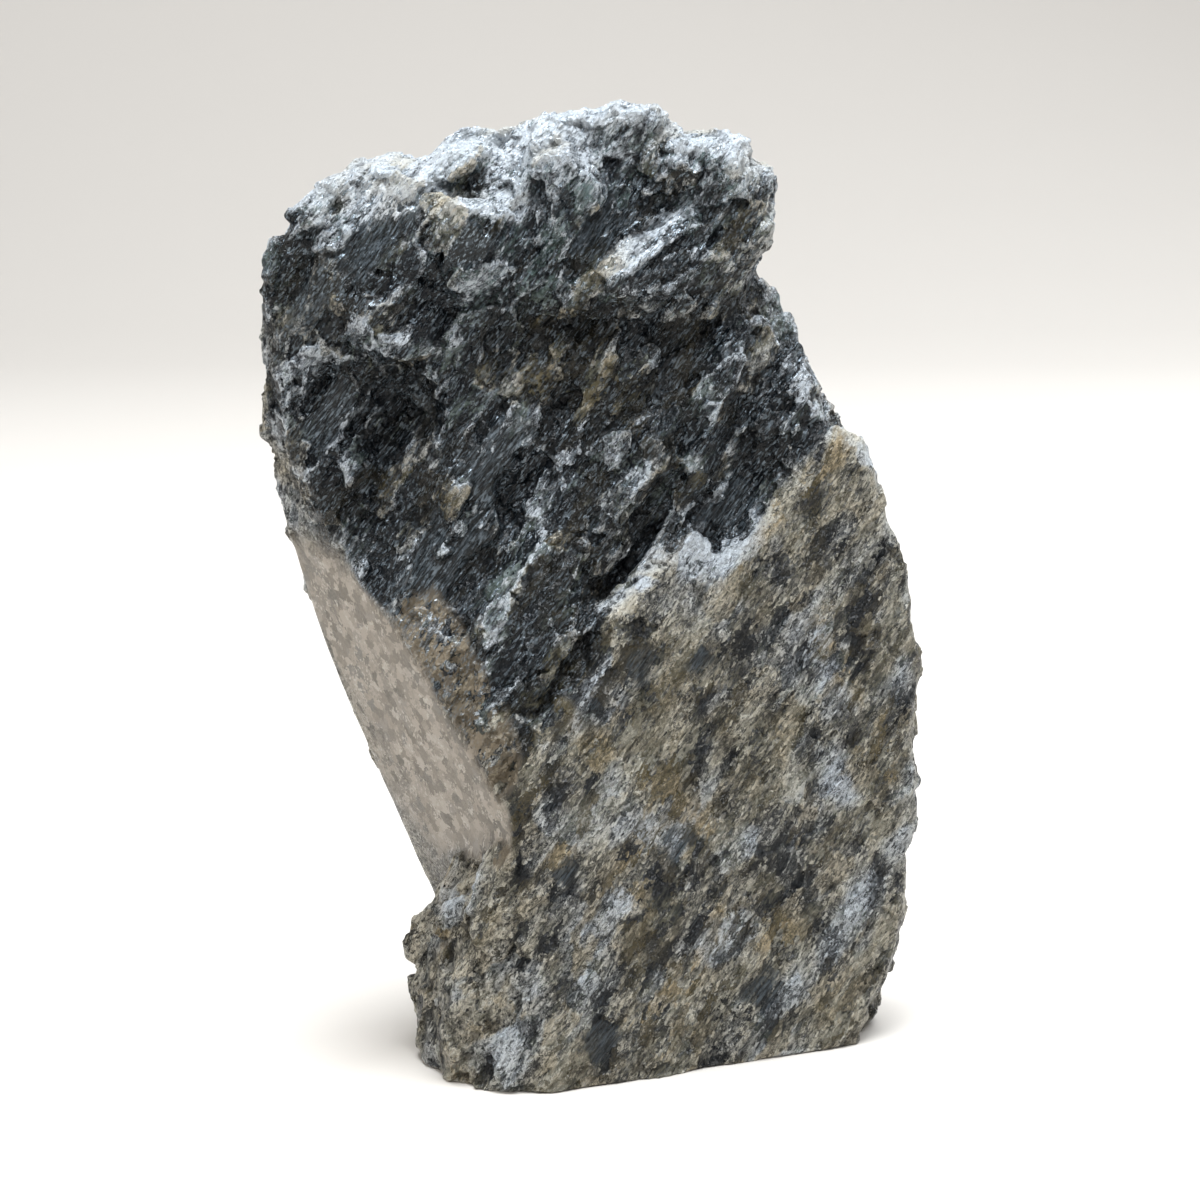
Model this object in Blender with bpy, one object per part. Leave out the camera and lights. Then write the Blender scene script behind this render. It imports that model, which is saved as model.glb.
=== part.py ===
"""Labradorite freeform: one rough stone, sawn flat underneath so that it stands.

The stone is built the way it broke.  Convex blocks with hand-chosen corners are joined into one
body, a saw trims the smooth left face and the resting face, and the broken skin then gets the
blocky crystals and long cleavage ledges of the rock.  Lengths are millimetres until the end.

X runs to the right along the front, Y from the front to the back, and Z up.  While the blocks
are laid out, X = 0, Y = 0 is close to the front corner of the resting face; at the end the
stone is moved so that the origin is the middle of its bounding box, on the resting face.
"""

import bmesh
import bpy
import numpy as np
from mathutils import Vector

# ---- Driving dimensions, in millimetres -------------------------------------------------------
MM = 0.001                      # metres in a millimetre
NODE = "labradorite_stone"
BELOW = -6.0                    # how deep the blocks reach below the resting face before sawing
SKIN_GRID = 1.5                 # grid that fuses the blocks into one skin
FINE_GRID = 1.1                 # grid that keeps the crystals crisp
TRIANGLES = 9400                # triangles left in the finished stone

GRAIN_AXIS = Vector((0.46, 0.26, 0.85)).normalized()    # the rock's long streaks, up to the right
SHEET_NORMAL = Vector((-0.83, 0.10, 0.42)).normalized()  # across the thin sheets of the rock

FRONT = Vector((0.25, -1.0, 0.0))
BACK = Vector((0.0, 1.0, 0.0))

LEFT_FACE_NORMAL = Vector((-0.82, -0.46, -0.35)).normalized()   # smooth, leans out over the foot
LEFT_FACE_POINT = Vector((-44.0, 26.4, 86.6))
SMOOTH_FACE_TOP = (84, 94)      # heights between which the smooth face turns rough

STONE_COLOUR = (0.105, 0.112, 0.108, 1.0)
STONE_ROUGHNESS = 0.55


# ---- The blocks that the stone is joined from -------------------------------------------------
# Each block is the convex hull of its corners.

CORE = [
    # front, behind the broken step: it leans back as it rises and turns away to the right
    (-36, 16, 44), (-4, 16, 44), (-8, 25, 112), (-8, 27, 131), (30, 38, 113), (41, 43, 108),
    # left edge
    (-59, 34, 116), (-60, 38, 104), (-53, 30, 128), (-48, 50, 62), (-34, 50, 28),
    # right edge and shoulder
    (28, 40, 130), (34, 47, 119), (55, 47, 82), (56, 47, 56), (54, 43, 24), (46, 36, 2),
    # back
    (-52, 56, 104), (-42, 58, 126), (22, 61, 136), (38, 60, 112), (50, 63, 82), (51, 62, 40),
    (2, 67, 74), (-38, 59, 62), (-24, 57, 28), (40, 56, BELOW), (24, 58, BELOW),
    (-16, 53, BELOW), (-29, 38, BELOW), (46, 36, BELOW),
]

SLAB_LEFT = [
    # flat front of the lower stone, up to the broken step
    (-9, 0, BELOW), (20, 16, BELOW), (-12, 3, 33), (-14, 4, 52), (-11.5, 6.5, 63), (-8, 10, 72),
    (1, 16, 83.5), (11, 25, 92.5), (23, 28, 87),
    (-10, 40, BELOW), (-14, 38, 60), (30, 44, 88), (30, 44, BELOW),
]

SLAB_RIGHT = [
    (-9, 0, BELOW), (45, 30, BELOW), (47, 32, 5), (55, 39, 24), (56, 43, 56), (55, 45, 83),
    (48, 44, 101), (42, 42, 110), (24, 29, 88), (-12, 3, 33),
    (44, 52, BELOW), (50, 56, 40), (48, 58, 84), (40, 56, 106), (0, 42, BELOW), (8, 44, 80),
]

HEAD = [
    # brow, overhanging the darker front
    (-33, 27, 138), (-14, 24, 134), (1, 26, 134), (12, 30, 133), (28, 38, 132),
    # top edge
    (-37, 38, 156), (-27, 42, 158), (-11, 43, 160), (7, 42, 163), (22, 45, 158), (30, 43, 151),
    # back and underneath
    (-38, 56, 148), (-6, 60, 156), (20, 60, 150), (24, 58, 128), (-38, 58, 122), (-36, 34, 122),
    (24, 42, 126),
]

HEAD_LEFT = [
    (-51, 29, 146), (-56, 28, 140), (-59, 31, 131), (-60, 35, 119), (-37, 38, 156), (-29, 26, 143),
    (-31, 24, 136), (-42, 25, 128), (-51, 28, 124), (-36, 30, 116), (-50, 50, 140), (-36, 56, 148),
    (-52, 50, 118), (-36, 56, 118),
]

GROOVE_SIDE = [
    # dark mottled face left of the two grooves, nearly level with the slab
    (-16, 5.6, 54), (-12.8, 8.5, 63), (-9.5, 12, 71), (-5, 15.2, 77.5), (-0.5, 19, 84), (6, 24.5, 90),
    (-19, 8.5, 66), (-20, 12, 75), (-23, 16, 77), (-22, 18, 84), (-17, 15.5, 83), (-10, 19.5, 90),
    (-22, 30, 60), (0, 34, 66), (6, 36, 88), (-20, 30, 90),
]

KHAKI_SHOULDER = [
    # rounds the smooth left face into the front, below the striated blade
    (-38, 21, 82), (-34, 17, 80), (-25, 16, 76), (-18, 17, 76), (-32, 15, 70), (-24, 11, 60),
    (-15, 12, 60), (-17, 6, 50), (-12, 6, 46), (-20, 10, 36), (-13, 4.5, 36), (-25, 20, 38),
    (-20, 30, 50), (-38, 34, 82), (-14, 30, 76),
]

FOOT = [
    # bulge of the lower left corner, standing out below the smooth face
    (-9, 0, BELOW), (-18, 4, BELOW), (-27, 12, BELOW), (-30, 18, BELOW), (-23, 7, 14),
    (-12, 3, 33), (-30, 20, 8), (-32, 25, 17), (-31, 31, 24), (-27, 32, 31), (-20, 9, 30),
    (-14, 5, 45), (-28, 40, BELOW), (-20, 52, BELOW), (-28, 42, 18), (-22, 50, 14),
    (0, 30, 34), (0, 30, BELOW),
    (14, 12, BELOW), (6, 12, 30), (-2, 10, 46),
]

BACK_SHOULDER = [
    # a paler piece set back behind the right notch, and the swelling of the back under it
    (31, 45, 120), (31, 46, 128), (26, 48, 135), (20, 62, 138), (36, 60, 112), (10, 66, 104),
    (-10, 64, 120), (0, 50, 110), (8, 55, 134),
]

BACK_LEDGE = [
    (-30, 60, 56), (-8, 68, 50), (20, 67, 44), (40, 62, 30), (36, 58, 8), (4, 62, 6), (-20, 55, 16),
    (0, 45, 30), (-28, 50, 40),
]

BLOCKS = [CORE, SLAB_LEFT, SLAB_RIGHT, GROOVE_SIDE, HEAD, HEAD_LEFT, KHAKI_SHOULDER, BACK_SHOULDER,
          BACK_LEDGE]

# Long blades of crystal that stand out of the front: lower end, upper end, width, height.
FRONT_BLADES = [
    ((-33, 20, 74), (-22, 23, 98), 13, 4),        # striated slab at the left
    ((-25, 23, 96), (-13, 27, 119), 9, 4),        # ridge above it
    ((-47, 25, 88), (-53, 29, 117), 10, 5),       # rim of the left edge
    ((-7, 22, 86), (8, 30, 124), 6, 4),
    ((1, 25, 93), (12, 30, 116), 6, 3),
    ((-55, 29, 128), (-42, 33, 147), 6, 4),       # bright edge of the dark slab in the head
    ((26, 36, 92), (36, 39, 108), 8, 3),
    ((-40, 23, 90), (-33, 26, 107), 5, 3),
    ((-20, 20, 72), (-12, 23, 96), 5, 3),
    ((14, 29, 102), (24, 34, 126), 6, 3),
]

BACK_BLADES = [
    ((-24, 62, 70), (-6, 65, 110), 14, 4),
    ((14, 65, 52), (30, 62, 96), 16, 5),
    ((-34, 60, 92), (-26, 58, 122), 10, 4),
]

# Lumps of the head: centre, size, and turn in degrees about Z.
LUMPS = [
    ((-4, 40, 155), (14, 12, 13), 20),
    ((6, 41, 159), (10, 11, 12), 50),
    ((-20, 37, 152), (16, 12, 10), -15),
    ((-6, 32, 150), (9, 9, 12), 35),
    ((19, 41, 151), (13, 12, 14), 10),
    ((1, 29, 139), (18, 7, 7), 15),
    ((-24, 27, 143), (13, 8, 9), -20),
    ((-34, 32, 151), (10, 8, 7), 40),
    ((-35, 26, 127), (12, 8, 11), 25),            # bright bluish ledge
    ((25, 40, 143), (8, 9, 11), 0),
]

# Long hollows: lower end, upper end, width, depth.
HOLLOWS = [
    ((-11, 9, 63), (-2, 14, 75), 3, 4),           # lower dark groove
    ((1, 17, 83), (11, 24, 94), 3, 5),            # upper dark groove, beside the bright step
    ((-3, 26, 138), (9, 30, 147), 7, 5),          # slot across the head
    ((-38, 27, 112), (-34, 27, 114), 11, 4),      # round dark crystal
    ((-13, 25, 126), (3, 26, 128), 7, 4),         # shade under the brow
    ((-41, 24, 92), (-31, 27, 110), 9, 4),        # hollow between the left rim and the ridge
    ((19, 31, 92), (25, 33, 97), 8, 2),           # smooth dark crystal beside the step
    ((-16, 24, 94), (-6, 26, 116), 6, 3),
    ((32, 40, 133), (30, 44, 128), 8, 3),         # notch of the right edge
    ((-24, 30, 146), (-14, 33, 154), 7, 2),
    ((-14, 66, 86), (6, 66, 124), 13, 4),         # back
    ((30, 62, 44), (44, 60, 80), 12, 4),
    ((-26, 60, 30), (-10, 62, 44), 12, 3),
]


# ---- Modelling helpers ------------------------------------------------------------------------
def unit(vector):
    """Return a numpy copy of a direction, one unit long."""
    values = np.array(vector, dtype=float)
    return values / np.linalg.norm(values)


def add_block(stone, corners, cuts=()):
    """Add a convex block to the stone's mesh, trimmed by planes given as (point, normal)."""
    block = hull(corners)
    for point, normal in cuts:
        bmesh.ops.bisect_plane(block, geom=block.verts[:] + block.edges[:] + block.faces[:],
                               plane_co=point, plane_no=normal, clear_outer=True)
        trimmed = hull([vertex.co.copy() for vertex in block.verts])
        block.free()
        block = trimmed
    data = bpy.data.meshes.new("block")
    block.to_mesh(data)
    block.free()
    stone.from_mesh(data)
    bpy.data.meshes.remove(data)


def hull(corners):
    """Return a bmesh of the convex hull of some corners, with nothing left inside it."""
    mesh = bmesh.new()
    for corner in corners:
        mesh.verts.new(Vector(corner))
    made = bmesh.ops.convex_hull(mesh, input=mesh.verts)
    inside = [item for item in made["geom_interior"] if isinstance(item, bmesh.types.BMVert)]
    bmesh.ops.delete(mesh, geom=inside, context="VERTS")
    bmesh.ops.recalc_face_normals(mesh, faces=mesh.faces)
    return mesh


def blade_corners(low, high, width, height, out):
    """Corners of a flat-topped blade that runs from its low end to its high end and faces out."""
    low, high = Vector(low), Vector(high)
    along = (high - low).normalized()
    out = (out - along * out.dot(along)).normalized()
    side = along.cross(out)
    half = side * width / 2
    corners = []
    for centre, narrow in ((low, 0.55), (low.lerp(high, 0.3), 1.0), (low.lerp(high, 0.8), 0.8),
                           (high, 0.4)):
        for sign in (-1, 1):
            corners.append(centre + half * sign * narrow - out * height)
            lift = 0.5 if sign > 0 else 0.1
            corners.append(centre + half * sign * narrow * 0.7 + out * height * lift)
    return corners


def lump_corners(centre, size, turn, random):
    """Corners of an uneven lump: a box whose corners are cut and shaken."""
    angle = np.radians(turn)
    corners = []
    for sx in (-1, 1):
        for sy in (-1, 1):
            for sz in (-1, 1):
                for cut in np.eye(3):
                    shape = np.array((sx, sy, sz)) * (1 - 0.45 * cut) * 0.5
                    shape = shape * size * random.uniform(0.8, 1.05)
                    x = shape[0] * np.cos(angle) - shape[1] * np.sin(angle)
                    y = shape[0] * np.sin(angle) + shape[1] * np.cos(angle)
                    corners.append(np.array(centre) + (x, y, shape[2]))
    return corners


def fuse(target):
    """Apply every modifier of an object to its mesh."""
    evaluated = target.evaluated_get(bpy.context.evaluated_depsgraph_get())
    mesh = bpy.data.meshes.new_from_object(evaluated)
    target.modifiers.clear()
    target.data = mesh


def hash_noise(cells, seed):
    """Three repeatable random numbers from 0 to 1 for each whole-number cell."""
    turned = cells @ np.array([[127.1, 269.5, 419.2], [311.7, 183.3, 371.9], [74.7, 246.1, 163.4]])
    return np.modf(np.abs(np.sin(turned + seed * 17.3)) * 43758.5453)[0]


def crystal_relief(points, size, seed, steep):
    """Height of a skin of flat-topped, tilted crystals, each about one cell of the rock's grain.

    The points are read along the grain, so that the crystals are long and thin like the rock's.
    The tallest of the neighbouring crystals shows at each point.
    """
    along, across = unit(GRAIN_AXIS), unit(SHEET_NORMAL)
    across = unit(across - along * across.dot(along))
    frame = np.stack([along, across, np.cross(along, across)])
    local = points @ frame.T / np.array(size)
    home = np.floor(local)
    best = np.full(len(points), -10.0)
    steps = [-1, 0, 1]
    for step in np.array(np.meshgrid(steps, steps, steps)).reshape(3, -1).T:
        cell = home + step
        seat = cell + 0.15 + 0.7 * hash_noise(cell, seed)
        tilt = hash_noise(cell, seed + 5) - 0.5
        level = hash_noise(cell, seed + 9)[:, 0]
        away = local - seat
        reach = np.abs(away).max(axis=1)
        height = level + (away * tilt).sum(axis=1) * 1.1 - steep * np.maximum(0, reach - 0.38)
        best = np.maximum(best, height)
    return best - best.mean()


def hollow_depth(points, low, high, width, depth):
    """How deep a long hollow cuts at each point; it is round-bottomed and fades at its rim."""
    low, high = np.array(low, dtype=float), np.array(high, dtype=float)
    span = high - low
    along = np.clip((points - low) @ span / (span @ span), 0, 1)
    away = np.linalg.norm(points - (low + along[:, None] * span), axis=1) / (width / 2 + depth / 2)
    return depth * np.clip(1 - away ** 2, 0, 1)


def fade(value, start, end):
    """Blend from 0 at start to 1 at end."""
    return np.clip((value - start) / (end - start), 0, 1)


# ---- The stone --------------------------------------------------------------------------------
def join_blocks():
    """Gather the blocks, trimmed to the smooth left face, and the foot that stands out below it."""
    saw = [(LEFT_FACE_POINT, LEFT_FACE_NORMAL)]
    random = np.random.default_rng(7)
    blades = [blade_corners(*blade, FRONT) for blade in FRONT_BLADES]
    blades += [blade_corners(*blade, BACK) for blade in BACK_BLADES]
    lumps = [lump_corners(*lump, random) for lump in LUMPS]
    mesh = bmesh.new()
    for corners in BLOCKS + blades + lumps:
        add_block(mesh, corners, saw)
    add_block(mesh, FOOT)
    data = bpy.data.meshes.new(NODE)
    mesh.to_mesh(data)
    mesh.free()
    stone = bpy.data.objects.new(NODE, data)
    bpy.context.scene.collection.objects.link(stone)
    return stone


def skin(stone, grid, easing):
    """Wrap everything in one even skin, and ease its sharpest seams a few times."""
    remesh = stone.modifiers.new("skin", "REMESH")
    remesh.mode = "VOXEL"
    remesh.voxel_size = grid
    if easing:
        ease = stone.modifiers.new("ease", "SMOOTH")
        ease.factor = 0.5
        ease.iterations = easing
    fuse(stone)


def fill_pockets(stone):
    """Keep only the outermost skin, so that no pocket between the blocks stays hollow."""
    mesh = bmesh.new()
    mesh.from_mesh(stone.data)
    unseen = set(mesh.verts)
    skins = []
    while unseen:
        front = [unseen.pop()]
        found = set(front)
        while front:
            vertex = front.pop()
            for edge in vertex.link_edges:
                other = edge.other_vert(vertex)
                if other in unseen:
                    unseen.discard(other)
                    found.add(other)
                    front.append(other)
        skins.append(found)
    skins.sort(key=len)
    inner = [vertex for found in skins[:-1] for vertex in found]
    bmesh.ops.delete(mesh, geom=inner, context="VERTS")
    mesh.to_mesh(stone.data)
    mesh.free()


def break_surface(stone):
    """Raise the crystals and ledges of the broken skin; the sawn left face stays smooth."""
    count = len(stone.data.vertices)
    points = np.empty(count * 3)
    stone.data.vertices.foreach_get("co", points)
    points = points.reshape(count, 3)
    normals = np.array([vertex.normal for vertex in stone.data.vertices])

    beyond_face = (points - np.array(LEFT_FACE_POINT)) @ unit(LEFT_FACE_NORMAL)
    off_face = np.maximum(fade(-beyond_face, 0.8, 3.5), fade(beyond_face, 1.5, 4.0))
    off_face = np.maximum(off_face, fade(points[:, 2], *SMOOTH_FACE_TOP))
    slab_front = points[:, 1] - 0.561 * (points[:, 0] + 9.3) - 0.12 * points[:, 2]
    on_slab = fade(-slab_front, -2.2, -0.4)
    high = fade(points[:, 2], 118, 140)

    coarse = crystal_relief(points, (17, 7, 10), 1, 2.6)
    fine = crystal_relief(points, (8, 3.6, 5), 2, 2.6)
    amount = (3.3 + 0.3 * high) * (1 - 0.72 * on_slab) * off_face
    lift = coarse * amount + fine * 0.5 * amount
    for hollow in HOLLOWS:
        lift -= hollow_depth(points, *hollow) * off_face
    points = points + normals * lift[:, None]
    stone.data.vertices.foreach_set("co", points.ravel())
    stone.data.update()


def saw_base(stone):
    """Saw off what is below the resting face, and close the cut with one flat face."""
    mesh = bmesh.new()
    mesh.from_mesh(stone.data)
    cut = bmesh.ops.bisect_plane(mesh, geom=mesh.verts[:] + mesh.edges[:] + mesh.faces[:],
                                 plane_co=(0, 0, 0), plane_no=(0, 0, -1), clear_outer=True)
    rim = [item for item in cut["geom_cut"] if isinstance(item, bmesh.types.BMEdge)]
    bmesh.ops.triangle_fill(mesh, edges=rim, use_beauty=True)
    bmesh.ops.recalc_face_normals(mesh, faces=mesh.faces)
    mesh.to_mesh(stone.data)
    mesh.free()


def thin_out(stone):
    """Keep the shape with no more triangles than the part needs."""
    stone.data.calc_loop_triangles()
    present = len(stone.data.loop_triangles)
    thin = stone.modifiers.new("thin", "DECIMATE")
    thin.ratio = min(1.0, TRIANGLES / present)
    thin.use_collapse_triangulate = True
    fuse(stone)


def set_down(stone):
    """Move the stone so that the middle of its box stands on the origin, in metres."""
    mesh = bmesh.new()
    mesh.from_mesh(stone.data)
    lows = [min(vertex.co[axis] for vertex in mesh.verts) for axis in range(3)]
    highs = [max(vertex.co[axis] for vertex in mesh.verts) for axis in range(3)]
    shift = Vector((-(lows[0] + highs[0]) / 2, -(lows[1] + highs[1]) / 2, 0.0))
    for vertex in mesh.verts:
        vertex.co = (vertex.co + shift) * MM
    bmesh.ops.recalc_face_normals(mesh, faces=mesh.faces)
    mesh.to_mesh(stone.data)
    mesh.free()
    return shift


def stone_material():
    """Dark grey feldspar, half glassy."""
    material = bpy.data.materials.new("labradorite")
    material.use_nodes = True
    shader = material.node_tree.nodes["Principled BSDF"]
    shader.inputs["Base Color"].default_value = STONE_COLOUR
    shader.inputs["Roughness"].default_value = STONE_ROUGHNESS
    shader.inputs["Metallic"].default_value = 0.0
    return material


def main():
    for item in list(bpy.data.objects):
        bpy.data.objects.remove(item)
    stone = join_blocks()
    skin(stone, SKIN_GRID, 2)
    fill_pockets(stone)
    break_surface(stone)
    skin(stone, FINE_GRID, 0)
    fill_pockets(stone)
    saw_base(stone)
    thin_out(stone)
    set_down(stone)
    stone.data.materials.clear()
    stone.data.materials.append(stone_material())


main()
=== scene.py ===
"""Labradorite freeform: the surface and finish of one rough stone, sawn flat to stand.

The frame gives the stone's form: a broad foliated slab at the lower right, a dark broken hollow
behind it, a frosted crystalline head, and one smooth leaning face on the left.  This script lays
a fine skin over that form, breaks it into folds, crystal faces, ledges, grooves, pits and knobs,
marks where it is dark, frosted or stained and where light and shade are painted on, and gives it
one material.  Sizes on the stone are millimetres, laid out from the front corner of its resting
face, until they are written to the mesh.
"""

import math

import bmesh
import bpy
import numpy as np
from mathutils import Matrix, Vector


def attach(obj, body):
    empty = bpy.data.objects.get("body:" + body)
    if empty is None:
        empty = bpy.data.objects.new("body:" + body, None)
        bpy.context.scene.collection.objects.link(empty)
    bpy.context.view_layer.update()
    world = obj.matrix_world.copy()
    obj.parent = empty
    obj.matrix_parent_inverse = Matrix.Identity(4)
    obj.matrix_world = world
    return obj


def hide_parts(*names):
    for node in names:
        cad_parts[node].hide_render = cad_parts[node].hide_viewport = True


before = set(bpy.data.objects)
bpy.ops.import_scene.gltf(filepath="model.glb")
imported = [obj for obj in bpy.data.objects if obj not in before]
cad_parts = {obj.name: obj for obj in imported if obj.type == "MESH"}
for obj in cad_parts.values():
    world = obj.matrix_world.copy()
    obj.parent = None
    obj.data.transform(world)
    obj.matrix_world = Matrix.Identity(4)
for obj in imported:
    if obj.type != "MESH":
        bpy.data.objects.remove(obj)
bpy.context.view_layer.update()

# ---- Driving sizes, in millimetres -------------------------------------------------------------
MM = 0.001
NODE = "labradorite_stone"
CORNER = np.array((1.10, -35.33, 0.0))      # the layout's origin, in the stone's own frame
SKIN_GRID = 0.56                            # spacing of the fine skin before thinning
TRIANGLES = 196000                          # kept in the finished skin

ALONG = np.array((0.60, 0.38, 0.74))        # the rock's long streaks, up to the right
ACROSS = np.array((-0.83, 0.10, 0.42))      # across its thin sheets

LEFT_FACE_POINT = np.array((-44.0, 26.4, 86.6))
LEFT_FACE_NORMAL = np.array((-0.82, -0.46, -0.35))

SLAB_TURN = 0.561                           # how fast the slab's front runs back to the right
SLAB_LEAN = 0.12                            # and how fast it leans back
SLAB_START = -9.3                           # how far to the left it begins, at the resting face
SLAB_TOP = 90.0                             # height of its upper rim on the left
SLAB_RISE = 24.0                            # and how far to the right it begins to climb

# Heights between which one kind of surface turns into the next.
LEFT_FACE_TOP = (84.0, 94.0)
BROKEN_FOOT = (52.0, 66.0)
BROKEN_TOP = (130.0, 142.0)
HEAD_FOOT = (126.0, 140.0)
CREST_FOOT = (143.0, 155.0)

# Sizes of the relief along, across and out of the grain.
FOLD = (20.0, 4.6, 7.0)
BLOCK = (9.0, 5.0, 6.5)
STAIR = (11.0, 6.0, 8.0)
CRYSTAL = (10.0, 4.4, 6.4)
SMALL_CRYSTAL = (4.4, 2.0, 2.9)
CRYSTAL_SEED = 31
CRYSTAL_LEAN = 0.18                         # how far a crystal's face tilts, as a slope
STEP_RISE = 2.6                             # from one cleavage step of a stair to the next
PRESSED = 1.6                               # the most that a plate is pressed flat

# Sizes of the material's patterns along, across and out of the grain.
BANDS = (7.0, 3.8, 5.0)
STAINS = (13.0, 8.0, 9.0)
SWAYS = (1.5, 1.0, 1.2)
GRAINS = (4.2, 1.9, 2.6)
SPECKS = (0.95, 0.40, 0.55)
FIBRES = (3.0, 0.36, 0.60)
CURLS = (1.7, 0.9, 1.1)

RIDGE_HEIGHT = 0.25                         # of a sharp ridge, over the skin close around it
SWELL_HEIGHT = 0.9                          # of a broad swell, over the skin further around it
BUMP_HEIGHT = 0.6                           # of the finest grain, which is only shaded


def unit(values):
    """A direction, one unit long."""
    values = np.array(values, dtype=float)
    return values / np.linalg.norm(values)


def square_frame(first, second):
    """Three square directions, the first kept and the second as close as it can be."""
    first = unit(first)
    second = unit(second)
    second = unit(second - first * second.dot(first))
    return np.stack([first, second, np.cross(first, second)])


GRAIN = square_frame(ALONG, ACROSS)


# ---- Fields worked out at points of the stone --------------------------------------------------
def fade(value, start, end):
    """Blend smoothly from 0 at start to 1 at end."""
    t = np.clip((value - start) / (end - start), 0, 1)
    return t * t * (3 - 2 * t)


def cell_random(cells, seed):
    """Three repeatable random numbers from 0 to 1 for each whole-number cell.

    The numbers inside have no meaning of their own: they only scramble the cell's place.
    """
    turned = cells @ np.array([[127.1, 269.5, 419.2], [311.7, 183.3, 371.9], [74.7, 246.1, 163.4]])
    return np.modf(np.abs(np.sin(turned + seed * 17.3)) * 43758.5453)[0]


def cloud(points, size, seed):
    """Soft blotches of about one size, from -1 to 1."""
    local = points / size
    home = np.floor(local)
    part = local - home
    part = part * part * (3 - 2 * part)
    total = np.zeros(len(points))
    for corner in np.ndindex(2, 2, 2):
        weight = np.prod(np.where(corner, part, 1 - part), axis=1)
        total += weight * cell_random(home + corner, seed)[:, 0]
    return total * 2 - 1


def billows(points, octaves, seed):
    """Several sizes of cloud added up, mostly near a half."""
    total = sum(cloud(points * 2 ** octave, 1.0, seed + octave) / 1.6 ** octave
                for octave in range(octaves))
    return 0.5 + 0.28 * total


def facets(points, size, lean, seed):
    """Height of a skin of tilted flat faces that meet in sharp ridges and valleys, -1 to 0.9.

    Each face is about one cell of the given size, read along the rock's grain, and the tallest of
    the neighbouring faces shows at each point.
    """
    local = points @ GRAIN.T / np.array(size)
    home = np.floor(local)
    best = np.full(len(points), -10.0)
    for step in np.ndindex(3, 3, 3):
        cell = home + np.array(step) - 1
        seat = cell + 0.1 + 0.8 * cell_random(cell, seed)
        slope = cell_random(cell, seed + 5) * 2 - 1
        level = cell_random(cell, seed + 9)
        away = local - seat
        reach = np.abs(away).max(axis=1)
        height = 0.8 * level[:, 0] + lean * (away * slope).sum(axis=1) - 5 * np.maximum(0, reach - 0.8)
        best = np.maximum(best, height)
    return np.clip(best - best.mean(), -1.0, 0.9)


def cleavage_steps(points, size, rise, seed):
    """A stair of small parallel ledges on each crystal, from 0 to 1 up each ledge.

    The crystals are cells of the given size, and each has its own direction of cleavage, always
    near the direction across the rock's sheets.
    """
    local = points @ GRAIN.T / np.array(size)
    home = np.floor(local)
    nearest = np.full(len(points), 10.0)
    stair = np.zeros(len(points))
    for step in np.ndindex(3, 3, 3):
        cell = home + np.array(step) - 1
        seat = cell + cell_random(cell, seed)
        away = local - seat
        distance = (away * away).sum(axis=1)
        random = cell_random(cell, seed + 3)
        heading = GRAIN[1] + (random - 0.5) @ GRAIN * 1.3
        heading /= np.linalg.norm(heading, axis=1)[:, None]
        climb = (points * heading).sum(axis=1) / (rise * (0.7 + 0.6 * random[:, 0]))
        climb = np.where(random[:, 1] > 0.5, climb, -climb)
        nearer = distance < nearest
        nearest = np.where(nearer, distance, nearest)
        stair = np.where(nearer, climb - np.floor(climb), stair)
    return stair


def crystal_cells(points, size, seed):
    """The whole-number cell of the crystal that each point is in, and how far inside its edge.

    Distances are summed as fourth powers, which makes the crystals blocky.
    """
    local = points @ GRAIN.T / np.array(size)
    home = np.floor(local)
    nearest = np.full(len(points), 100.0)
    second = nearest.copy()
    owner = home.copy()
    for step in np.ndindex(3, 3, 3):
        cell = home + np.array(step) - 1
        distance = ((local - cell - cell_random(cell, seed)) ** 4).sum(axis=1)
        nearer = distance < nearest
        second = np.where(nearer, nearest, np.minimum(second, distance))
        nearest = np.where(nearer, distance, nearest)
        owner[nearer] = cell[nearer]
    return owner, second ** 0.25 - nearest ** 0.25


def crystal_faces(points, normals, where, size, lean, deepest, seed):
    """Give each crystal its own flat face, tilted at random, with small steps between them."""
    cells = crystal_cells(points, size, seed)[0]
    # one number for each cell, then its place in the list of cells
    owner = np.unique((cells + 500) @ np.array((1, 1000, 1000000)), return_inverse=True)[1]
    number = np.bincount(owner)
    random = np.random.default_rng(seed)
    middle = np.stack([np.bincount(owner, axis) / number for axis in points.T], axis=1)
    facing = np.stack([np.bincount(owner, axis) / number for axis in normals.T], axis=1)
    facing += random.normal(0, lean, facing.shape)
    facing /= np.linalg.norm(facing, axis=1)[:, None]
    level = random.uniform(-0.5, 0.5, len(number)) * deepest
    above = ((points - middle[owner]) * facing[owner]).sum(axis=1) - level[owner]
    slant = (normals * facing[owner]).sum(axis=1)
    shift = np.clip(-above / np.maximum(slant, 0.35), -deepest, deepest)
    return points + normals * (shift * where)[:, None]


def strip(points, low, high, width):
    """1 along a line from its low to its high end, fading to 0 half a width away."""
    low, high = np.array(low, dtype=float), np.array(high, dtype=float)
    span = high - low
    along = np.clip((points - low) @ span / (span @ span), 0, 1)
    away = np.linalg.norm(points - (low + along[:, None] * span), axis=1) / (width / 2)
    return np.clip(1 - away ** 2, 0, 1)


def strips(points, lines):
    """The strongest of several strips."""
    return np.max([strip(points, *line) for line in lines], axis=0)


def mound(points, centre, width):
    """1 at a place, fading to 0 half a width away: a strip that is almost a point."""
    return strip(points, centre, np.array(centre) + 0.1, width)


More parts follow.
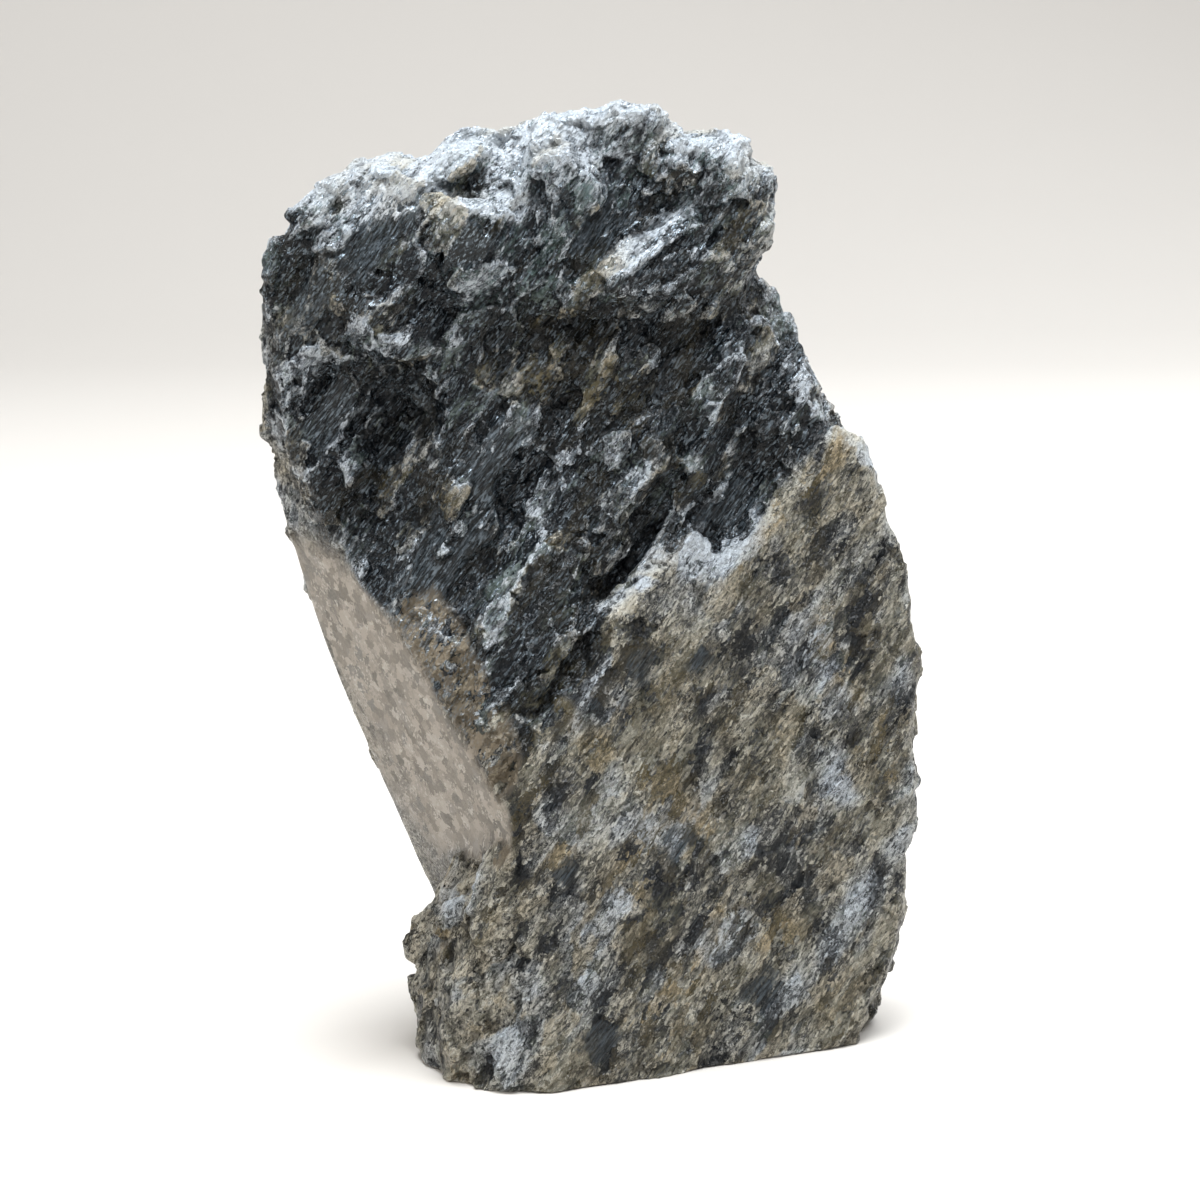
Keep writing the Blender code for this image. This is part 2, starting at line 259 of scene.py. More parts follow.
def groove(points, low, high, width):
    """1 along a line on the front, thinning to almost nothing at both of its ends."""
    low, high = np.array(low, dtype=float), np.array(high, dtype=float)
    span = high - low
    flat = (points + 0.5 * cloud(points, 2.5, 20)[:, None]) * (1.0, 0.0, 1.0)
    along = np.clip((flat - low) @ span / (span @ span), 0, 1)
    away = np.linalg.norm(flat - (low + along[:, None] * span), axis=1)
    half = 0.5 * width * (1.05 - (2 * along - 1) ** 2)
    return np.clip(1 - away / half, 0, 1) * (points[:, 1] < 35)


def plate_mask(points, plate):
    """1 on a flat-faced crystal: a slanted box, given as centre, half sizes along the grain."""
    centre, half = plate
    local = np.abs((points - np.array(centre, dtype=float)) @ GRAIN.T) / np.array(half)
    return 1 - fade(local.max(axis=1) + 0.35 * cloud(points, 2.4, 19), 0.75, 1.0)


def pit(points, centre, width):
    """1 at the bottom of a ragged little hole, longer along the grain than across it."""
    local = (points - np.array(centre, dtype=float)) @ GRAIN.T / (np.array((0.75, 0.4, 0.5)) * width)
    return 1 - fade(np.linalg.norm(local, axis=1) + 0.45 * cloud(points, 1.8, 18), 0.35, 1.0)


# ---- Places on the stone -----------------------------------------------------------------------
# Smooth dark cleavage plates: centre, and half sizes along, across and out of the grain.
PLATES = [
    ((22.5, 35.5, 94.5), (6.0, 4.0, 4.5)),
    ((7, 19, 70), (4.2, 2.4, 4.0)),
    ((17, 24, 69), (3.6, 2.4, 4.0)),
    ((0, 6, 8), (4.0, 2.6, 4.0)),
    ((28, 23, 12), (4.4, 2.6, 4.0)),
    ((13, 18, 39), (3.6, 2.2, 4.0)),
    ((-6, 7, 37), (2.8, 1.8, 4.0)),
    ((-35, 27, 113), (6.0, 5.0, 5.0)),
    ((-38, 28, 142), (8.5, 5.0, 5.0)),
    ((-27, 22, 88), (12.0, 5.5, 4.0)),
    ((-18, 24, 106), (8.0, 4.0, 4.0)),
    ((0.5, 32, 142), (7.0, 3.6, 5.0)),
    ((-22.5, 20.6, 141), (6.0, 3.2, 5.0)),
    ((-49, 27.4, 130), (6.0, 3.4, 5.0)),
    ((-46, 29, 112), (7.0, 3.4, 5.0)),
    ((38, 60, 70), (9.0, 5.0, 5.0)),
    ((-10, 66, 96), (10.0, 5.0, 5.0)),
    ((12, 64, 30), (7.0, 5.0, 5.0)),
]

# Brightly frosted rims, ledges and tops, partly painted light where up-facing ledges catch the light:
# low end, high end, width.
PALE_AND_LIT = [
    ((-34, 39, 155), (-22, 40, 157), 6.5),
    ((-3, 36, 158), (5, 37, 153), 7.0),
    ((-22, 39, 157), (-7, 34, 162), 7.3),
    ((-7, 43, 163), (7, 36, 164), 5.7),
    ((7, 36, 162), (23, 36, 156), 4.9),
    ((-40, 31, 147), (-55, 31, 127), 1.8),
    ((-38, 21, 130), (-30, 25, 124), 5.5),
    ((-25, 27, 125), (-13, 27, 131), 2.6),
    ((-13, 27, 131), (1, 28, 132), 2.4),
    ((1, 27, 132), (7, 30, 129), 2.0),
    ((8, 30, 129), (27, 41, 128), 2.4),
    ((-14, 26, 117), (-24, 21, 98), 3.6),
    ((12.5, 28, 94), (1.5, 19, 80.5), 1.4),
    ((7, 24, 87), (23, 28, 87), 2.6),
    ((-22, 21, 94), (-32, 16, 77), 6.5),
    ((-2, 26, 106), (7, 24, 101), 4.5),
    ((8, 24, 103), (21, 33, 105), 4.2),
    ((-15, 25, 112), (-10, 27, 106), 3.9),
    ((-22, 25, 134), (-17, 25, 138), 4.9),
    ((33, 41, 118), (41, 42, 108), 5.0),
    ((43, 42, 109), (52, 45, 90), 5.0),
    ((51, 38, 33), (53, 39, 31), 6.0),
    ((41, 31, 31), (44, 33, 27), 6.0),
    ((3, 10, 31), (7, 12, 29), 4.5),
    ((38, 31, 48), (44, 34, 44), 6.0),
    ((-20, 32, 152), (-14, 30, 148), 4.2),
    ((-34, 28, 150), (-29, 30, 151), 3.6),
    ((-23, 6, 14), (-22, 6, 4), 7.0),
    ((-18, 4, 19), (-15, 3, 6), 7.0),
    ((-7, 25, 154), (0, 33, 143), 3.6),
    ((-43, 29, 109), (-52, 36, 92), 2.5),
    ((10, 28, 140), (17, 33, 133), 3.9),
]

# Khaki and ochre stained places.
TAN = [
    ((24, 29, 88), (43, 41, 105), 5.5),
    ((10, 16, 44), (3, 11, 31), 9.7),
    ((-7, 11, 65), (0, 12, 55), 5.0),
    ((-28, 13, 75), (-17, 8, 56), 9.1),
    ((-43, 29, 117), (-46, 27, 106), 3.6),
    ((7, 27, 111), (8, 25, 104), 3.9),
    ((38, 35, 75), (44, 36, 61), 6.5),
    ((17, 17, 19), (7, 10, 10), 8.1),
    ((-26, 28, 32), (-27, 17, 21), 4.9),
    ((-7, 16, 80), (-5, 15, 74), 3.2),
    ((0, 11, 49), (-7, 7, 39), 5.5),
    ((49, 39, 60), (51, 38, 46), 4.2),
    ((9, 16, 50), (16, 19, 42), 10.0),
    ((20, 21, 24), (31, 25, 22), 9.0),
    ((30, 60, 100), (10, 64, 60), 20.0),
]

# Places where the frost is blue rather than cream.
BLUE = [
    ((4, 24, 89), (20, 27, 88), 9.0),
    ((-6, 14, 76), (6, 21, 84), 6.0),
    ((34, 28, 27), (44, 33, 34), 9.0),
    ((40, 33, 52), (44, 34, 44), 8.0),
    ((39, 34, 66), (42, 35, 60), 7.0),
]

# Clear dark crystals, and painted shade in hollows and on the sides of the grooves.
DARK_AND_SHADE = [
    ((-30, 24, 148), (-43, 25, 135), 9.0),
    ((-49, 27, 146), (-51, 27, 139), 4.5),
    ((-36, 32, 115), (-34, 34, 111), 8.0),
    ((-12, 30, 126), (3, 30, 125), 6.0),
    ((7, 31, 125), (24, 37, 124), 4.4),
    ((9, 36, 145), (-2, 29, 138), 4.8),
    ((18, 34, 145), (9, 28, 137), 6.5),
    ((20, 35, 141), (13, 31, 133), 7.0),
    ((0, 31, 143), (-7, 27, 138), 3.6),
    ((-8, 9, 61), (1, 16, 77), 7.0),
    ((-1, 12, 63), (7, 17, 76), 8.0),
    ((3, 21, 81), (13, 27, 88), 2.6),
    ((-34, 34, 110), (-42, 28, 97), 8.0),
    ((-39, 29, 96), (-44, 29, 82), 4.0),
    ((-7, 18, 87), (-16, 11, 67), 8.0),
    ((8, 28, 96), (0, 22, 85), 5.5),
    ((-13, 8, 60), (-2, 15, 76), 3.5),
    ((25, 37, 97), (21, 32, 90), 5.5),
    ((8, 18, 67), (9, 18, 64), 4.6),
    ((17, 22, 64), (17, 22, 62), 4.0),
    ((0, 7, 10), (1, 7, 7), 5.0),
    ((29, 22, 9), (30, 22, 5), 5.0),
    ((14, 17, 36), (14, 17, 33), 4.4),
    ((-5, 7, 37), (-5, 7, 34), 3.6),
    ((-20, 28, 124), (-27, 23, 101), 4.2),
    ((-12, 7, 60), (-15, 4, 33), 4.6),
    ((-27, 23, 144), (-30, 25, 132), 3.2),
    ((43, 39, 85), (46, 38, 71), 6.0),
    ((-2, 30, 124), (-7, 26, 108), 4.6),
    ((11, 16, 32), (16, 18.5, 38), 6.5),
    ((17, 35, 122), (7, 26, 109), 4.6),
    ((-17, 22, 144), (-22, 23, 137), 3.4),
    ((-54, 28, 132), (-50, 28, 144), 5.0),
]

# Beige crystals that lead from the smooth left face round to the front.
BEIGE = [
    ((-30, 16, 78), (-18, 9, 54), 14.0),
    ((-19, 8, 50), (-18, 7, 40), 8.0),
]

# The two straight grooves beside the slab, and a shallow run into the lower one, seen from the
# front: low end, high end, width, depth.
GROOVES = [
    ((-11.5, 0, 62), (0.5, 0, 79), 3.4, 3.2),
    ((-1, 0, 80), (13, 0, 97), 3.6, 3.6),
    ((-17, 0, 50), (-11, 0, 61), 2.2, 1.4),
]

# Small deep holes: centre, width, depth.
PITS = [
    ((-11, 36, 155), 3.5, 2.2),
    ((-6, 35, 156), 5.0, 2.8),
    ((12, 38, 157), 3.5, 2.2),
    ((19, 36, 146), 5.0, 1.6),
    ((-15, 5, 25), 4.0, 1.5),
]

# Low swellings that close the hollows under the crest: centre, width, height.
SWELLINGS = [
    ((0, 36, 154), 15.0, 2.8),
    ((-23, 31, 152.5), 11.0, 1.8),
]

# Black knobs on the left edge of the head: centre, width, height.
KNOBS = [
    ((-53, 28, 145), 5.0, 1.4),
    ((-55, 28, 141), 5.0, 1.6),
    ((-56, 29, 137), 6.0, 1.6),
    ((-56, 30, 133), 5.0, 1.2),
    ((-53, 26, 139), 4.0, 1.0),
    ((-53, 26, 134), 4.5, 1.0),
]


def left_face(points, normals):
    """1 on the smooth left face, and 0 above the height where it turns rough."""
    facing = unit(LEFT_FACE_NORMAL)
    beyond = (points - LEFT_FACE_POINT) @ facing
    # within about 2 mm of the face's plane, and turned the same way
    near = fade(beyond, -2.6, -0.9) * (1 - fade(beyond, 1.2, 2.6)) * fade(normals @ facing, 0.75, 0.9)
    return near * (1 - fade(points[:, 2] + 3 * cloud(points, 7.0, 3), *LEFT_FACE_TOP))


def slab_front(points):
    """1 on the flat front of the lower slab, up to its rim."""
    depth = points[:, 1] - SLAB_TURN * (points[:, 0] - SLAB_START) - SLAB_LEAN * points[:, 2]
    rim = SLAB_TOP + np.clip(points[:, 0] - SLAB_RISE, 0, 30)
    near = 1 - fade(depth + 0.5 * cloud(points, 4.0, 4), 1.2, 2.6)
    return near * (1 - fade(points[:, 2] - rim, 0, 4))


def broken_zone(points):
    """1 in the darker zone behind the slab's broken step and under the head."""
    behind = 1 - slab_front(points)
    front = 1 - fade(points[:, 1] - 0.28 * points[:, 0], 40, 54)
    height = points[:, 2] + 5 * cloud(points, 9.0, 5)
    return behind * front * fade(height, *BROKEN_FOOT) * (1 - fade(height, *BROKEN_TOP))


def head_zone(points):
    """1 on the crystalline head."""
    return fade(points[:, 2] + 4 * cloud(points, 9.0, 6), *HEAD_FOOT)


# ---- The fine skin -----------------------------------------------------------------------------
def mesh_arrays(mesh):
    """Vertices, in layout millimetres, and edges of a mesh."""
    count = len(mesh.vertices)
    places = np.empty(count * 3)
    mesh.vertices.foreach_get("co", places)
    edges = np.empty(len(mesh.edges) * 2, dtype=int)
    mesh.edges.foreach_get("vertices", edges)
    return places.reshape(count, 3) / MM - CORNER, edges.reshape(-1, 2)


def put_back(mesh, points):
    """Write layout millimetres back to the mesh, in metres."""
    mesh.vertices.foreach_set("co", ((points + CORNER) * MM).ravel())
    mesh.update()


def neighbour_mean(values, edges, times=1):
    """Mean of each vertex's neighbours, taken again as often as asked."""
    number = np.bincount(edges.ravel(), minlength=len(values))
    share = np.maximum(number, 1)[:, None]
    for _ in range(times):
        total = np.zeros_like(values)
        for one, other in ((0, 1), (1, 0)):
            np.add.at(total, edges[:, one], values[edges[:, other]])
        values = total / share
    return values


def unit_rows(vectors):
    """Each row of a table of vectors, one unit long."""
    return vectors / np.linalg.norm(vectors, axis=1)[:, None]


def vertex_normals(mesh):
    """Unit normals of a mesh's vertices."""
    normals = np.empty(len(mesh.vertices) * 3)
    mesh.vertices.foreach_get("normal", normals)
    return normals.reshape(-1, 3)


def apply_modifiers(piece):
    """Fix an object's modifiers in its mesh."""
    done = bpy.data.meshes.new_from_object(piece.evaluated_get(bpy.context.evaluated_depsgraph_get()))
    piece.modifiers.clear()
    piece.data = done


def fine_skin():
    """A fine, even copy of the CAD stone's skin."""
    piece = bpy.data.objects.new("labradorite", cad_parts[NODE].data.copy())
    bpy.context.scene.collection.objects.link(piece)
    remesh = piece.modifiers.new("skin", "REMESH")
    remesh.mode = "VOXEL"
    remesh.voxel_size = SKIN_GRID * MM
    apply_modifiers(piece)
    return piece


def soften(points, edges, amount, times):
    """Ease the flat triangles of the rough form, but keep the resting face flat."""
    amount = np.where(points[:, 2] < 0.4, 0, amount)[:, None]
    for _ in range(times):
        points = points + amount * (neighbour_mean(points, edges) - points)
    return points


def flatten_plate(points, normals, plate):
    """Turn most of the skin inside a plate into one flat glassy face."""
    mask = plate_mask(points, plate)
    inside = np.flatnonzero(mask > 0.01)
    facing = unit((normals[inside] * mask[inside][:, None]).sum(axis=0))
    weight = mask[inside] * fade(normals[inside] @ facing, 0.6, 0.85)
    middle = (points[inside] * weight[:, None]).sum(axis=0) / weight.sum()
    above = np.clip((points[inside] - middle) @ facing, -PRESSED, PRESSED)
    points[inside] -= facing * (0.9 * above * weight)[:, None]


def relief(points, smooth, wild):
    """How far the skin is raised or sunk at each point, in folds, blocks, ledges and knobs."""
    head = head_zone(points)
    lift = facets(points, FOLD, lean=0.9, seed=11) * (0.16 + 0.84 * wild) * (1 - 0.4 * head)
    lift += facets(points, BLOCK, lean=1.2, seed=12) * (0.14 + 0.30 * wild + 0.4 * head * wild)
    lift += (cleavage_steps(points, STAIR, STEP_RISE, seed=16) - 0.5) * (0.12 + 0.22 * wild)
    lift *= (1 - smooth) * (1 - 0.45 * fade(points[:, 2], *CREST_FOOT))
    for low, high, width, depth in GROOVES:
        lift -= depth * groove(points, low, high, width)
    for centre, width, depth in PITS:
        lift -= depth * pit(points, centre, width)
    for centre, width, height in SWELLINGS:
        lift += height * mound(points, centre, width)
    for centre, width, height in KNOBS:
        lift += height * np.sqrt(mound(points, centre, width))
    return lift


def pull_in_spikes(points, edges):
    """Ease the few vertices that stand far out from their neighbours."""
    for _ in range(2):
        back = neighbour_mean(points, edges) - points
        points += back * fade(np.linalg.norm(back, axis=1), 0.36, 0.8)[:, None]


def break_surface(piece):
    """Raise the folds, crystals, ledges, pits and knobs of the broken skin."""
    points, edges = mesh_arrays(piece.data)
    points = soften(points, edges, amount=0.5, times=8)
    put_back(piece.data, points)
    normals = unit_rows(neighbour_mean(vertex_normals(piece.data), edges, times=6))

    smooth = left_face(points, normals)
    slab = slab_front(points)
    wild = (1 - slab) * (1 - smooth)
    above_base = fade(points[:, 2], 0.0, 1.2)
    rough = (0.35 * slab + wild) * (1 - smooth) * above_base

    lift = relief(points, smooth, wild)
    points = points + normals * (lift * above_base)[:, None]
    points = crystal_faces(points, normals, rough * 0.9, CRYSTAL,
                           lean=CRYSTAL_LEAN, deepest=1.1, seed=CRYSTAL_SEED)
    points = crystal_faces(points, normals, rough * 0.8, SMALL_CRYSTAL,
                           lean=CRYSTAL_LEAN, deepest=0.4, seed=CRYSTAL_SEED + 1)
    for plate in PLATES:
        flatten_plate(points, normals, plate)
    pull_in_spikes(points, edges)
    points[:, 2] = np.maximum(points[:, 2], 0)
    put_back(piece.data, points)


def thin_out(piece):
    """Bring the skin down to the triangles that it may keep."""
    piece.data.calc_loop_triangles()
    thin = piece.modifiers.new("thin", "DECIMATE")
    thin.ratio = min(1.0, TRIANGLES / len(piece.data.loop_triangles))
    apply_modifiers(piece)


def store(mesh, name, values):
    """Keep a number for each vertex, for the material to read."""
    layer = mesh.attributes.new(name, "FLOAT", "POINT")
    layer.data.foreach_set("value", values.astype(np.float32))


def mark_places(piece):
    """Work out where the stone is raised, smooth, broken, frosted, dark and stained, and where light
    and shade are painted on, and store it.
    """
    points, edges = mesh_arrays(piece.data)
    normals = vertex_normals(piece.data)
    eased = neighbour_mean(points, edges, times=4)
    wide = neighbour_mean(eased, edges, times=30)
    wide_normals = unit_rows(neighbour_mean(normals, edges, times=30))
    ridge = ((points - eased) * normals).sum(axis=1)
    swell = ((points - wide) * wide_normals).sum(axis=1)

    smooth = left_face(points, wide_normals)
    head = head_zone(points)
    ragged = points + 1.6 * np.stack([cloud(points, 3.0, seed) for seed in (21, 22, 23)], axis=1)
    knobs = np.max([mound(points, centre, 1.3 * width) for centre, width, _ in KNOBS], axis=0)
    # painted shade along the grooves, added to the dark marks
    groove_shade = np.max([groove(points, *line[:3]) for line in GROOVES], axis=0)
    cells, inside = crystal_cells(points + 0.25 * (ragged - points), CRYSTAL, CRYSTAL_SEED)
    random = cell_random(cells, 41)
    local = points @ GRAIN.T

    places = {
        "ridge": np.clip(ridge / RIDGE_HEIGHT, -1, 1),
        "swell": np.clip(swell / SWELL_HEIGHT, -1, 1),
        # up-facing surfaces: frosted, and painted lighter as if lit from above
        "top": fade(wide_normals[:, 2] + 0.12 * head, 0.20, 0.75),
        "smooth": smooth,
        "broken": broken_zone(points) * (1 - smooth),
        "head": head,
        "plate": np.max([plate_mask(points, plate) for plate in PLATES], axis=0),
        # frosted rims and ledges, partly painted light
        "pale": strips(ragged, PALE_AND_LIT),
        # dark crystals and knobs, and painted shade in hollows and grooves
        "dark": strips(ragged, DARK_AND_SHADE) + 1.5 * knobs + groove_shade,
        "tan": strips(ragged, TAN),
        "beige": fade(strips(ragged, BEIGE), 0.1, 0.5) * (1 - smooth),
        "bands": billows(local / BANDS, 3, 24),
        "stain": billows(local / STAINS, 3, 25) - 0.3 * strips(ragged, BLUE),
        "crystal": random[:, 0],
        "hue": random[:, 1],
        "rim": 1 - fade(inside, 0.03, 0.20),
    }
    for name, values in places.items():
        store(piece.data, name, values)


# ---- Material maths ----------------------------------------------------------------------------
class Field:
    """A value that varies over the surface: one socket, with arithmetic that adds Math nodes."""

    def __init__(self, tree, socket):
        self.tree = tree
        self.socket = socket

    def math(self, operation, *others):
        """Another Math node, with this value first."""
        return self.tree.node("ShaderNodeMath", {"operation": operation},
                              dict(enumerate((self,) + others)))

    def __add__(self, other):
        return self.math("ADD", other)

    def __radd__(self, other):
        return self.math("ADD", other)

    def __sub__(self, other):
        return self.math("SUBTRACT", other)

    def __rsub__(self, other):
        return self.tree.node("ShaderNodeMath", {"operation": "SUBTRACT"}, {0: other, 1: self})

    def __mul__(self, other):
        return self.math("MULTIPLY", other)

    def __rmul__(self, other):
        return self.math("MULTIPLY", other)

    def __neg__(self):
        return self.math("MULTIPLY", -1.0)

    def most(self, other):
        """The larger of the two."""
        return self.math("MAXIMUM", other)

    def least(self, other):
        """The smaller of the two."""
        return self.math("MINIMUM", other)

    def step(self, start, end):
        """0 below start, 1 above end, and a smooth blend between."""
        return self.tree.node("ShaderNodeMapRange", {"interpolation_type": "SMOOTHSTEP"},
                              {"Value": self, "From Min": start, "From Max": end,
                               "To Min": 0.0, "To Max": 1.0})

    def output(self, name):
        """Another output of the same node."""
        return Field(self.tree, self.socket.node.outputs[name])


class Tree:
    """The nodes of one material."""

    def __init__(self, name):
        self.material = bpy.data.materials.new(name)
        self.material.use_nodes = True
        self.nodes = self.material.node_tree.nodes
        self.links = self.material.node_tree.links
        self.shader = self.nodes["Principled BSDF"]

    def node(self, kind, settings=None, inputs=None, output=0):
        """Add a node, set it up, feed its sockets, and return one of its outputs."""
        made = self.nodes.new(kind)
        for name, value in (settings or {}).items():
            if name == "stops":
                place_stops(made.color_ramp, value)
            else:
                setattr(made, name, value)
        self.feed(made, inputs or {})
        return Field(self, made.outputs[output])

    def feed(self, made, inputs):
        """Set or link sockets by name or number."""
        for name, value in inputs.items():
            if isinstance(value, Field):
                self.links.new(value.socket, made.inputs[name])
            else:
                made.inputs[name].default_value = value

    def finish(self, **sockets):
        """Feed the shader's own sockets, and return the material."""
        self.feed(self.shader, {name.replace("_", " "): value for name, value in sockets.items()})
        return self.material

    def stored(self, *names):
        """Numbers kept with the mesh."""
        return [self.node("ShaderNodeAttribute", {"attribute_name": name}, output="Fac")
                for name in names]

    def vector(self, operation, one, other, output=0):
        """Vector arithmetic."""
        return self.node("ShaderNodeVectorMath", {"operation": operation}, {0: one, 1: other}, output)

    def colour(self, one, other, amount, blend="MIX"):
        """Mix two colours."""
        return self.node("ShaderNodeMix", {"data_type": "RGBA", "blend_type": blend},
                         {0: amount, 6: one, 7: other}, 2)

    def ramp(self, value, stops):
        """A colour ramp with stops given as (place, colour)."""
        return self.node("ShaderNodeValToRGB", {"stops": stops}, {0: value})

    def noise(self, where, detail, rough, distortion=0.0):
        """A soft noise, mostly near a half."""
        return self.node("ShaderNodeTexNoise", None,
                         {"Vector": where, "Scale": 1.0, "Detail": detail, "Roughness": rough,
                          "Distortion": distortion}, "Fac")


def place_stops(ramp, stops):
    """Give a colour ramp its stops."""
    while len(ramp.elements) < len(stops):
        ramp.elements.new(0.5)
    for element, (place, colour) in zip(ramp.elements, stops):
        element.position = place
        element.color = colour


def rgb(red, green, blue):
    """A colour for a socket."""
    return (red, green, blue, 1.0)


# ---- Labradorite -------------------------------------------------------------------------------
# The rock's body, from blue charcoal to khaki grey.
BODY = [
    (0.12, rgb(0.003, 0.004, 0.005)),
    (0.34, rgb(0.011, 0.012, 0.012)),
    (0.52, rgb(0.035, 0.036, 0.028)),
    (0.70, rgb(0.075, 0.071, 0.052)),
    (0.92, rgb(0.155, 0.150, 0.117)),
]

# The smooth left face, from dark grains to pale ones.
MOSAIC = [
    (0.28, rgb(0.085, 0.076, 0.060)),
    (0.38, rgb(0.130, 0.112, 0.089)),
    (0.60, rgb(0.185, 0.160, 0.128)),
    (0.76, rgb(0.285, 0.250, 0.208)),
]

DEEP_OCHRE = rgb(0.037, 0.031, 0.015)
PALE_OCHRE = rgb(0.175, 0.140, 0.070)
DEEP_SLATE = rgb(0.006, 0.008, 0.009)
PALE_SLATE = rgb(0.050, 0.062, 0.072)
CREAM_FROST = rgb(0.505, 0.48, 0.405)
TAN_FROST = rgb(0.43, 0.345, 0.215)
BLUE_FROST = rgb(0.555, 0.60, 0.645)
# painted shade for the sharp valleys between ridges
CREVICE_SHADE = rgb(0.003, 0.004, 0.005)
FLECK = rgb(0.36, 0.33, 0.28)
GLINT = rgb(0.27, 0.325, 0.37)

# Casts that multiply the colour under them.
BLUE_CAST = rgb(0.58, 0.90, 1.16)
OLIVE_CAST = rgb(0.66, 0.58, 0.42)
BEIGE_CAST = rgb(0.66, 0.62, 0.53)


def grain_places(tree, size, sway=0.0, shift=0.0):
    """Where a point lies in the rock's grain, in steps of the given sizes, swayed by a noise."""
    place = tree.node("ShaderNodeTexCoord", output="Object")
    axes = [tree.vector("DOT_PRODUCT", place, tuple(axis / MM / step), "Value")
            for axis, step in zip(GRAIN, size)]
    return tree.node("ShaderNodeCombineXYZ", None,
                     {"X": axes[0] + sway + shift, "Y": axes[1] + sway, "Z": axes[2] - sway})


def crystals(tree, where, shape="EUCLIDEAN"):
    """A mosaic of crystals: three random numbers for each, and the slope of its tilted face."""
    cells = tree.node("ShaderNodeTexVoronoi", {"distance": shape},
                      {"Vector": where, "Scale": 1.0, "Randomness": 1.0}, "Color")
    leaning = tree.vector("SUBTRACT", cells, (0.5, 0.5, 0.5))
    away = tree.vector("SUBTRACT", where, cells.output("Position"))
    face = tree.vector("DOT_PRODUCT", leaning, away, "Value")
    random = tree.node("ShaderNodeSeparateColor", None, {0: cells})
    return [random.output(part) for part in range(3)], face


def patterns(tree):
    """Grains, specks, fibres and curls that run along the grain, and the height of their relief."""
    sway = tree.noise(grain_places(tree, SWAYS), detail=2.0, rough=0.6) * 1.6
    grains, grain_face = crystals(tree, grain_places(tree, GRAINS, sway), shape="CHEBYCHEV")
    specks, speck_face = crystals(tree, grain_places(tree, SPECKS, sway, shift=7.0))
    fibres = tree.noise(grain_places(tree, FIBRES, shift=3.0), detail=3.0, rough=0.70)
    curls = tree.noise(grain_places(tree, CURLS, shift=9.0), detail=3.0, rough=0.65, distortion=0.8)
    return grains, specks, fibres, curls, speck_face * 0.7 + fibres * 0.5 + grain_face * 2.0


def side_mosaic(tree, grains, specks, curls, bands):
    """The beige and grey grains of the smooth left face."""
    mosaic = tree.ramp(grains[0] * 0.55 + bands * 0.30 + specks[0] * 0.08 + curls * 0.2, MOSAIC)
    flecks = (specks[2] + grains[1] * 0.5 - 1.20).step(0.0, 0.04)
    return tree.colour(mosaic, FLECK, flecks * 0.7)


